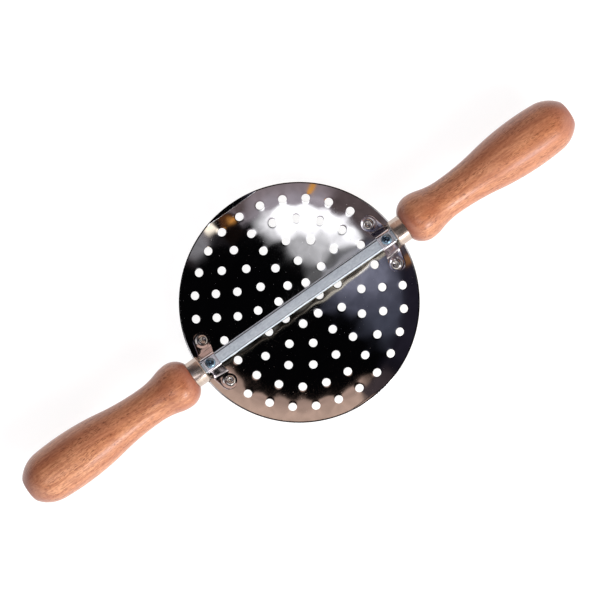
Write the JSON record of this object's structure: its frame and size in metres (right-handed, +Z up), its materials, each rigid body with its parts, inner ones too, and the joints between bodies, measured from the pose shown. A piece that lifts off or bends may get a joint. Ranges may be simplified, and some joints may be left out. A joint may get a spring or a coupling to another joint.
{
  "type": "potato ricer",
  "caption": "Two-handled press for riced potato and dough: a perforated steel dish strapped under a square crossbar, with a turned beech handle on each end of the bar.",
  "frame": {"origin": "under the middle of the dish, at the height of its lowest point", "axes": "+X along the crossbar and both handles, +Y across the bar in the plane of the rim, +Z up out of the dish's hollow, the side the crossbar is on"},
  "size_m": [0.377, 0.14, 0.0419],
  "materials": {
    "stainless_polished": "mirror polished stainless steel sheet",
    "stainless_strap": "bright stainless steel strip",
    "zinc_plated": "bright zinc plated steel bar, faintly blue and mottled",
    "zinc_screw": "blue zinc plated",
    "rivet_steel": "bright plated steel",
    "nickel_ferrule": "nickel plated, warm",
    "beech": "turned steamed beech under a satin lacquer"
  },
  "bodies": {
    "root": {"disc": "stainless_polished", "crossbar": "zinc_plated", "strap_left": "stainless_strap", "strap_right": "stainless_strap", "strap_screw_left": "zinc_screw", "strap_screw_right": "zinc_screw", "rivet_left_back": "rivet_steel", "rivet_left_front": "rivet_steel", "rivet_right_back": "rivet_steel", "rivet_right_front": "rivet_steel", "ferrule_left": "nickel_ferrule", "ferrule_right": "nickel_ferrule", "handle_left": "beech", "handle_right": "beech"}
  },
  "joints": []
}
